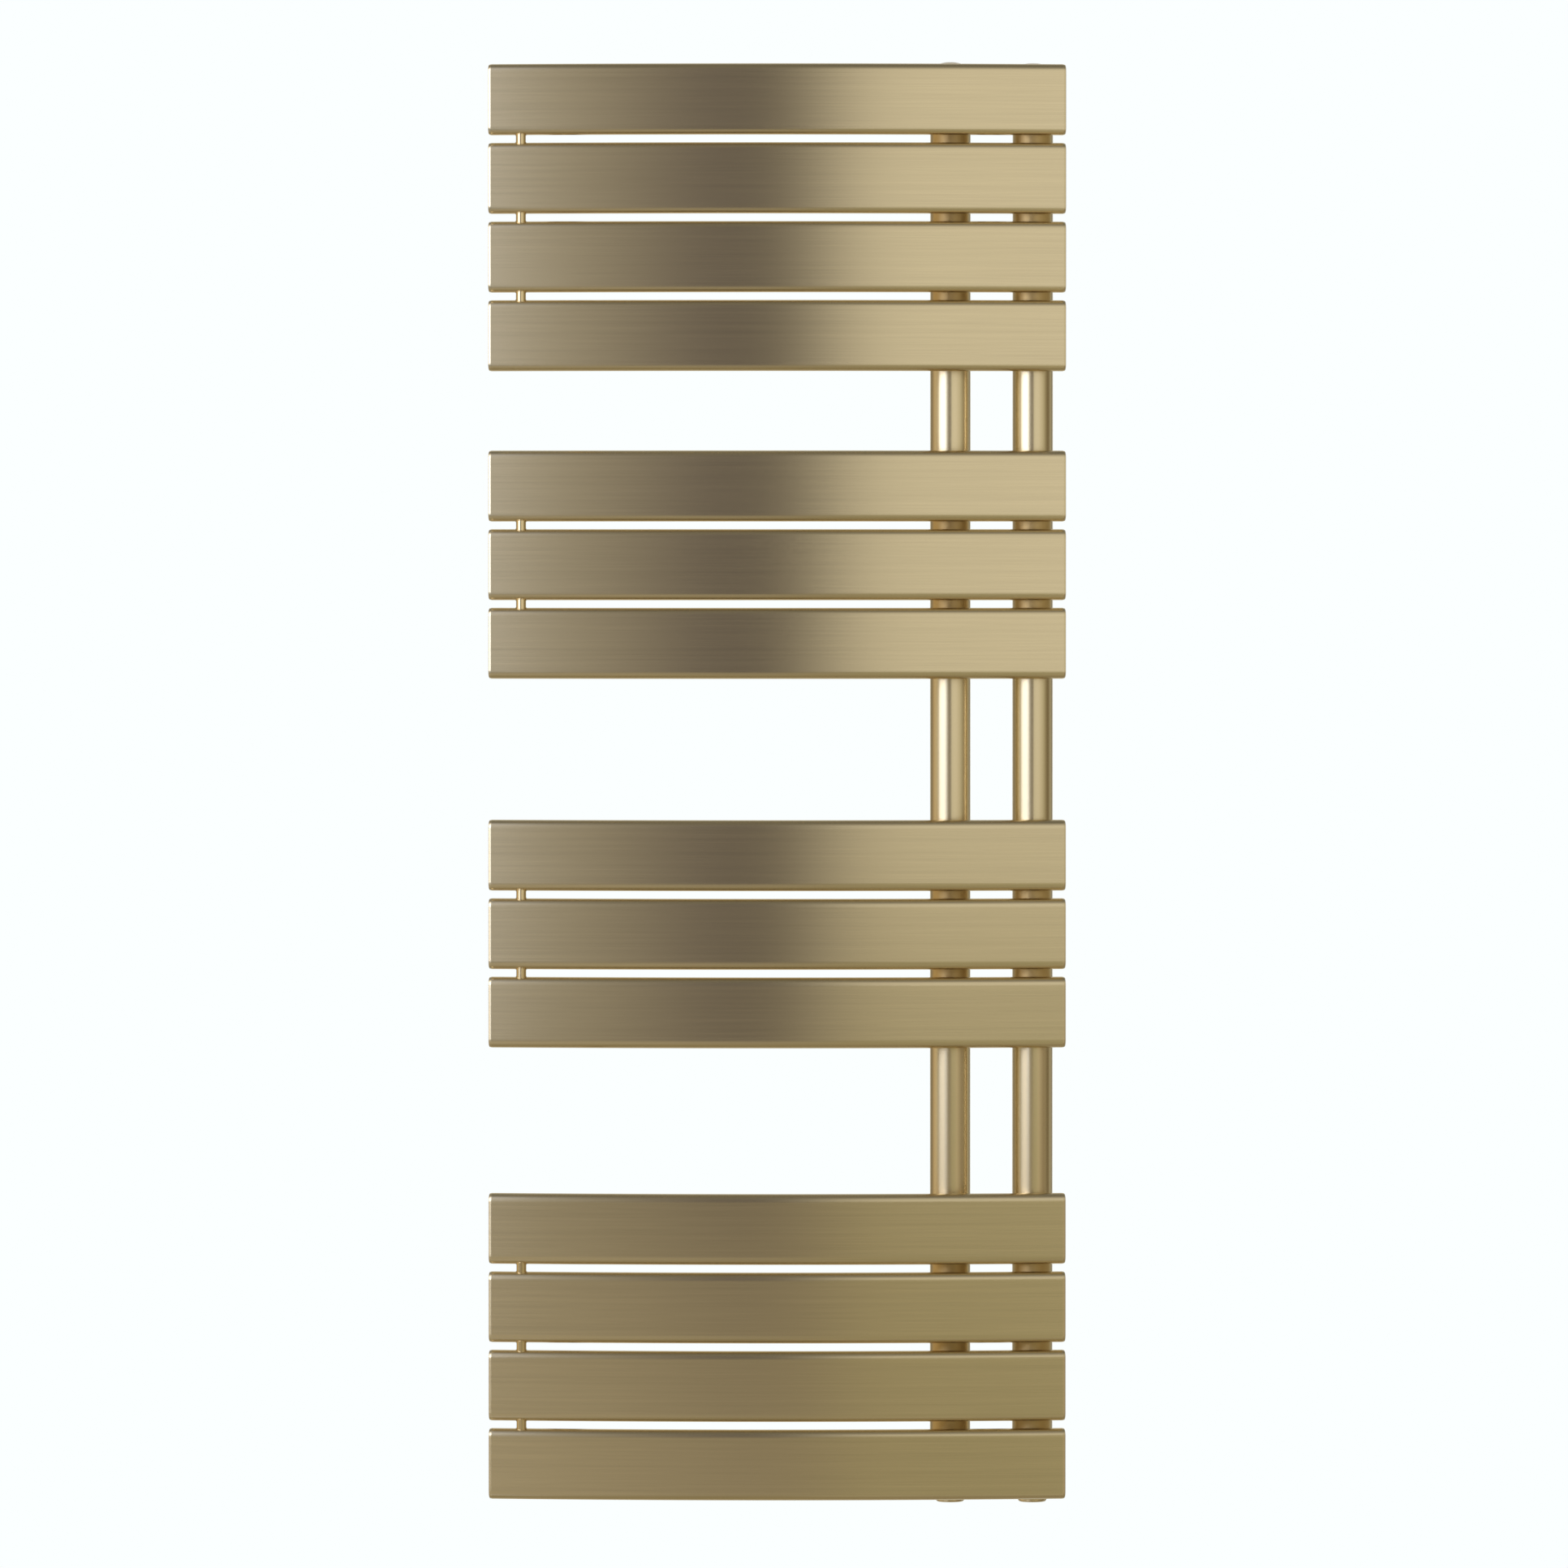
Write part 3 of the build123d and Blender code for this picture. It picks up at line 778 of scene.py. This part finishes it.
spigot_radius = collector_radius - COLLECTOR_WALL
boss_outline = (
    [(THREAD_OUTER, -BOSS_LENGTH - BOSS_SPIGOT), (THREAD_OUTER, -MOUTH_BEVEL)]
    + rounded(BOSS_NECK_RADIUS - BOSS_RIM_ROUND, -BOSS_RIM_ROUND, BOSS_RIM_ROUND, 72, 0)
    + [(BOSS_NECK_RADIUS, -BOSS_NECK_LENGTH)]
    + rounded(
        collector_radius - BOSS_SHOULDER_ROUND, -BOSS_NECK_LENGTH - BOSS_SHOULDER_ROUND,
        BOSS_SHOULDER_ROUND, 90, 0,
    )
    + [(collector_radius, -BOSS_LENGTH), (spigot_radius, -BOSS_LENGTH)]
    + [(spigot_radius, -BOSS_LENGTH - BOSS_SPIGOT)]
)
for side, axis in collector_axes.items():
    for end, towards in (("top", "Z"), ("bottom", "-Z")):
        node = f"{side}_{end}_boss"
        low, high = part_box(node)
        rim = high.z if end == "top" else low.z
        place = Vector((axis.x, axis.y, rim))
        ridge = thread(THREAD_OUTER, THREAD_INNER, -BOSS_LENGTH, -MOUTH_BEVEL)
        seam = weld_bead(collector_radius - 2 * BEAD_SINK, BEAD_SIZE, lambda p: -BOSS_LENGTH)
        end_piece = turned(boss_outline, closed=True)
        parts = [set_up(part, place, towards) for part in (end_piece, ridge, seam)]
        name = f"{node}_turned"
        finish_piece(name, gather(parts), satin_upright, "satin_brass", "radiator", node)

# ---- Plugs and vent screw ----
# A domed brass plug closes the top of each collector. The left one is screwed in with a hexagonal
# key, and the right one holds a small steel screw with a square head, which lets out the air.

PLUG_RADIUS = 0.013
PLUG_SHANK_RADIUS = 0.009265
PLUG_SHANK_LENGTH = 0.010
PLUG_CHAMFER = 0.0008
PLUG_EDGE_ROUND = 0.0005
BLANKING_CROWN_RADIUS = 0.030
VENT_CROWN_RADIUS = 0.035
HEX_ACROSS = 0.008
HEX_DEPTH = 0.005
HEX_MARGIN = 0.0006  # from the socket's corners to the ring that the dome ends at
VENT_RECESS_RADIUS = 0.005
VENT_RECESS_DEPTH = 0.003
VENT_SCREW_RADIUS = 0.003
VENT_SCREW_LENGTH = 0.007
VENT_SEAT_LENGTH = 0.002
VENT_SEAT_RADIUS = 0.0012
VENT_SQUARE = 0.005
VENT_SQUARE_RISE = 0.0024
VENT_SQUARE_ROUND = 0.0004
SLIP = 0.00005
DOME_POINTS = 10
# Painted shade: the plugs' brass is darkened below its own colour, so that the heads stand out
# dark.
SHADED_TURNED_BRASS = (0.42, 0.34, 0.22)  # darkened, so that the heads stand out
TURNED_ROUGHNESS = 0.17


def dome(crown, crown_radius, inner, outer):
    """Points of a plug's domed top, from one radius out to another."""
    radii = [inner + (outer - inner) * i / DOME_POINTS for i in range(DOME_POINTS + 1)]
    return [(r, crown - crown_radius + math.sqrt(crown_radius**2 - r**2)) for r in radii]


def plug_outline(crown, crown_radius, inner):
    """A plug's outline from the dome's inner end down to the end of the shank."""
    top = dome(crown, crown_radius, inner, PLUG_RADIUS - PLUG_EDGE_ROUND)
    edge_height = top[-1][1] - PLUG_EDGE_ROUND
    return (
        top
        + rounded(PLUG_RADIUS - PLUG_EDGE_ROUND, edge_height, PLUG_EDGE_ROUND, 70, 0)
        + [(PLUG_RADIUS, 0.0002), (PLUG_RADIUS - 0.0002, 0), (PLUG_SHANK_RADIUS, 0)]
        + [(PLUG_SHANK_RADIUS, PLUG_CHAMFER - PLUG_SHANK_LENGTH)]
        + [(PLUG_SHANK_RADIUS - PLUG_CHAMFER, -PLUG_SHANK_LENGTH)]
    )


def cut_hex_socket(mesh, across, top, floor):
    """Joins a turned mesh's open ring to a hexagonal pocket. top gives the height at a radius."""
    ring = [edge for edge in mesh.edges if edge.is_boundary]
    circle = bmesh.ops.create_circle(mesh, segments=6, radius=across / math.sqrt(3))
    corners = circle["verts"]
    sides = list({edge for vert in corners for edge in vert.link_edges})
    bmesh.ops.subdivide_edges(mesh, edges=sides, cuts=ROUND_STEPS // 6 - 1)
    hexagon = [edge for edge in mesh.edges if edge.is_wire]
    for vert in {vert for edge in hexagon for vert in edge.verts}:
        vert.co.z = top(vert.co.xy.length)
    bmesh.ops.bridge_loops(mesh, edges=ring + hexagon)
    walls = bmesh.ops.extrude_edge_only(mesh, edges=hexagon)
    below = [part for part in walls["geom"] if isinstance(part, bmesh.types.BMVert)]
    for vert in below:
        vert.co.z = floor
    edges = [part for part in walls["geom"] if isinstance(part, bmesh.types.BMEdge)]
    bmesh.ops.contextual_create(mesh, geom=[edge for edge in edges if edge.is_boundary])
    bmesh.ops.recalc_face_normals(mesh, faces=mesh.faces)


def head_height(node):
    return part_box(node)[1].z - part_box("supply_top_boss")[1].z


turned_brass = brushed_metal(
    "turned_brass", SHADED_TURNED_BRASS, TURNED_ROUGHNESS, SATIN_BRUSHING, GRAIN_ROUND_Z
)
top_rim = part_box("supply_top_boss")[1].z
blanking_crown = head_height("blanking_plug") + HEX_ACROSS**2 / 8 / BLANKING_CROWN_RADIUS
socket_ring = HEX_ACROSS / math.sqrt(3) + HEX_MARGIN
blanking = turned(
    plug_outline(blanking_crown, BLANKING_CROWN_RADIUS, socket_ring) + [(0, -PLUG_SHANK_LENGTH)]
)
cut_hex_socket(
    blanking, HEX_ACROSS,
    lambda r: blanking_crown - BLANKING_CROWN_RADIUS + math.sqrt(BLANKING_CROWN_RADIUS**2 - r**2),
    blanking_crown - HEX_DEPTH,
)
plug_thread_reach = (PLUG_CHAMFER - PLUG_SHANK_LENGTH, -MOUTH_BEVEL)
blanking_ridge = thread(PLUG_SHANK_RADIUS, THREAD_OUTER - SLIP, *plug_thread_reach, phase=0.5)
place = collector_axes["supply"] + Vector((0, 0, top_rim))
parts = [set_up(part, place) for part in (blanking, blanking_ridge)]
finish_piece(
    "blanking_plug_turned", gather(parts), turned_brass, "turned_brass", "radiator", "blanking_plug"
)

vent_crown = head_height("vent_plug") + VENT_RECESS_RADIUS**2 / 2 / VENT_CROWN_RADIUS
vent_floor = vent_crown - VENT_RECESS_DEPTH
seat_top = vent_floor - VENT_SCREW_LENGTH
seat_bottom = seat_top - VENT_SEAT_LENGTH
vent_outline = (
    [(VENT_SCREW_RADIUS + SLIP, vent_floor), (VENT_RECESS_RADIUS, vent_floor)]
    + plug_outline(vent_crown, VENT_CROWN_RADIUS, VENT_RECESS_RADIUS)
    + [(VENT_SEAT_RADIUS, -PLUG_SHANK_LENGTH), (VENT_SEAT_RADIUS, seat_bottom)]
    + [(VENT_SCREW_RADIUS + SLIP, seat_top)]
)
place = collector_axes["return"] + Vector((0, 0, top_rim))
vent_ridge = thread(PLUG_SHANK_RADIUS, THREAD_OUTER - SLIP, *plug_thread_reach, phase=0.5)
parts = [set_up(part, place) for part in (turned(vent_outline, closed=True), vent_ridge)]
finish_piece(
    "vent_plug_turned", gather(parts), turned_brass, "turned_brass", "radiator", "vent_plug"
)

STEEL = (0.56, 0.55, 0.53)
STEEL_ROUGHNESS = 0.28

screw_steel = brushed_metal("screw_steel", STEEL, STEEL_ROUGHNESS, 0.0, GRAIN_ROUND_Z)
shank = turned([
    (0, vent_floor + SLIP), (VENT_SCREW_RADIUS, vent_floor + SLIP), (VENT_SCREW_RADIUS, seat_top),
    (VENT_SEAT_RADIUS, seat_bottom + 2 * SLIP), (0, seat_bottom + 2 * SLIP),
])
square = bmesh.new()
bmesh.ops.create_cube(square, size=1.0)
bmesh.ops.scale(square, verts=square.verts, vec=(VENT_SQUARE, VENT_SQUARE, VENT_SQUARE_RISE))
bevel_edges(square, square.edges[:], VENT_SQUARE_ROUND, 3)
bmesh.ops.translate(square, verts=square.verts, vec=(0, 0, vent_floor + VENT_SQUARE_RISE / 2))
parts = [set_up(part, place) for part in (shank, square)]
finish_piece(
    "vent_screw_turned", gather(parts), screw_steel, "vent_screw_steel", "vent_screw", "vent_screw"
)

# ---- Spacer pins ----
# A short round pin near the free ends keeps two neighbouring bars of a group apart. It is fitted
# to their rounded edges and welded to both.

PIN_SUNK = 0.002
PIN_BEAD = 0.0005
PIN_BRASS = (0.74, 0.58, 0.31)
PIN_ROUGHNESS = 0.16

pin_brass = brushed_metal(
    "pin_brass", PIN_BRASS, PIN_ROUGHNESS, SATIN_BRUSHING, GRAIN_ROUND_Z,
    marking=SATIN_MARKING,
)
first = 0
for group in range(1, 5):
    node = f"spacer_pins_group_{group}"
    low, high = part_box(node)
    middle = (low + high) / 2
    pin_radius = (high.x - low.x) / 2
    lowest, highest = low.z - bar_height, high.z + bar_height
    members = [height for height in bar_heights[first:] if lowest < height < highest]
    first += len(members)
    edge_axis = bend_centre.y - math.sqrt((bend_radius - bar_edge_radius) ** 2 - middle.x**2)
    pins = []
    for upper, lower in zip(members, members[1:]):
        gap = upper - lower - bar_height
        reach = gap / 2 + PIN_SUNK
        place = Vector((middle.x, middle.y, (upper + lower) / 2))
        pin = turned([(0, reach), (pin_radius, reach), (pin_radius, -reach), (0, -reach)])

        def edge_over(point):
            """How high the upper bar's edge is over a point of the bead."""
            off_axis = middle.y + point.y - edge_axis
            return gap / 2 + bar_edge_radius - math.sqrt(bar_edge_radius**2 - off_axis**2)

        for towards in ("Z", "-Z"):
            pins.append(set_up(weld_bead(pin_radius, PIN_BEAD, edge_over), place, towards))
        pins.append(set_up(pin, place))
    finish_piece(f"{node}_welded", gather(pins), pin_brass, "satin_brass", "radiator", node)

# ---- Bracket posts ----
# Four round posts are welded to the backs of the second and the last but one bar. Each slides in
# a wall cup, so that the radiator's distance from the wall can be set.

POST_CHAMFER = 0.001
POST_SUNK = 0.0008
POST_BEAD = 0.0014
POST_RADIUS = 0.010
BRACKET_BARS = {"upper": 1, "lower": BAR_COUNT - 2}

low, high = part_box("bracket_posts")
bracket_x = {"left": low.x + POST_RADIUS, "right": high.x - POST_RADIUS}
posts = []
for row, index in BRACKET_BARS.items():
    for x in bracket_x.values():
        place = Vector((x, 0, bar_heights[index]))
        post = turned([
            (0, -bar_back(x) + POST_SUNK), (POST_RADIUS, -bar_back(x) + POST_SUNK),
            (POST_RADIUS, POST_CHAMFER - high.y), (POST_RADIUS - POST_CHAMFER, -high.y),
            (0, -high.y),
        ])
        bead = weld_bead(POST_RADIUS, POST_BEAD, lambda p: -bar_back(x + p.x))
        posts += [set_up(post, place, "-Y"), set_up(bead, place, "-Y")]
finish_piece(
    "bracket_posts_welded", gather(posts), satin_level, "satin_brass", "radiator", "bracket_posts"
)

# ---- Wall cups ----
# Turned brass cups, each fixed to the wall by one screw through its base. A lock screw from below
# holds the post, and the flange hides the hole in the wall.

CUP_RADIUS = 0.015
CUP_LENGTH = 0.045
CUP_BASE = 0.004
CUP_FLANGE_RADIUS = 0.020
CUP_FLANGE_ROUND = 0.0015
CUP_FILLET = 0.0008
CUP_MOUTH_CHAMFER = 0.001
WALL_HOLE_RADIUS = 0.00325

cup_bore = POST_RADIUS + SLIP
cup_outline = (
    [(WALL_HOLE_RADIUS, 0), (CUP_FLANGE_RADIUS, 0)]
    + rounded(
        CUP_FLANGE_RADIUS - CUP_FLANGE_ROUND, CUP_BASE - CUP_FLANGE_ROUND, CUP_FLANGE_ROUND, 0, 90
    )
    + rounded(CUP_RADIUS + CUP_FILLET, CUP_BASE + CUP_FILLET, CUP_FILLET, 270, 180)
    + [(CUP_RADIUS, CUP_LENGTH - CUP_MOUTH_CHAMFER), (CUP_RADIUS - CUP_MOUTH_CHAMFER, CUP_LENGTH)]
    + [(cup_bore + CUP_MOUTH_CHAMFER, CUP_LENGTH), (cup_bore, CUP_LENGTH - CUP_MOUTH_CHAMFER)]
    + [(cup_bore, CUP_BASE), (WALL_HOLE_RADIUS, CUP_BASE)]
)
cups = []
for index in BRACKET_BARS.values():
    for x in bracket_x.values():
        cups.append(set_up(turned(cup_outline, closed=True), (x, 0, bar_heights[index]), "-Y"))
finish_piece("wall_cups_turned", gather(cups), satin_level, "satin_brass", "wall_side", "wall_cups")

# ---- Lock screws ----
# Blackened steel set screws, each with a hexagonal socket in the end that shows below its cup.

LOCK_ACROSS = 0.0025
LOCK_DEPTH = 0.0025
LOCK_CORE_SHARE = 0.9
LOCK_CHAMFER = 0.0004
LOCK_RING_MARGIN = 0.0002
BLACK_STEEL = (0.085, 0.085, 0.09)
BLACK_ROUGHNESS = 0.36

black_steel = brushed_metal("black_steel", BLACK_STEEL, BLACK_ROUGHNESS, 0.0, GRAIN_ROUND_Z)
for row in BRACKET_BARS:
    for side in bracket_x:
        node = f"lock_screw_{row}_{side}"
        low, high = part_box(node)
        middle = (low + high) / 2
        radius = (high.x - low.x) / 2
        length = high.z - low.z
        core = radius * LOCK_CORE_SHARE
        screw = turned([
            (LOCK_ACROSS / math.sqrt(3) + LOCK_RING_MARGIN, length), (core - LOCK_CHAMFER, length),
            (core, length - LOCK_CHAMFER), (core, LOCK_CHAMFER), (core - LOCK_CHAMFER, 0), (0, 0),
        ])
        cut_hex_socket(screw, LOCK_ACROSS, lambda r: length, length - LOCK_DEPTH)
        place = Vector((middle.x, middle.y, high.z))
        parts = [set_up(screw, place, "-Z")]
        finish_piece(f"{node}_socketed", gather(parts), black_steel, "lock_screw_steel", node, node)

# ---- Flow dividers and sealing rings ----
# Inside each bar a strip of sheet steel sends the water out to the free end and back. A black
# rubber ring seals each plug. Both keep their plain shape, since nothing shows of them.

SHEET_STEEL = (0.42, 0.41, 0.39)
SHEET_ROUGHNESS = 0.42
SHEET_GRAIN = (GRAIN_LONG, 900.0, 900.0)
RUBBER_DARK = (0.012, 0.012, 0.013, 1.0)
RUBBER_PALE = (0.022, 0.022, 0.023, 1.0)
BLOOM_SCALE = 900.0
BLOOM_HEIGHT = 0.00005


def seal_rubber():
    material, start = empty_material("seal_rubber")
    place = start.node("ShaderNodeTexCoord", output="Object")
    bloom = place.noise(BLOOM_SCALE, 3.0)
    finish_shader(start, {
        "Base Color": bloom.mixed(RUBBER_DARK, RUBBER_PALE),
        "Roughness": 0.5 + 0.25 * bloom,
        "Normal": bloom.bump(0.3, BLOOM_HEIGHT),
    })
    return material


def dress(node, material):
    """Gives a CAD node that stays as it is a new material."""
    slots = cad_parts[node].material_slots
    for slot in slots:
        slot.material = material
    if not len(slots):
        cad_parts[node].data.materials.append(material)


sheet_steel = brushed_metal("sheet_steel", SHEET_STEEL, SHEET_ROUGHNESS, 0.0, SHEET_GRAIN)
rubber = seal_rubber()
dress("bar_flow_dividers", sheet_steel)
dress("blanking_plug_o_ring", rubber)
dress("vent_plug_o_ring", rubber)
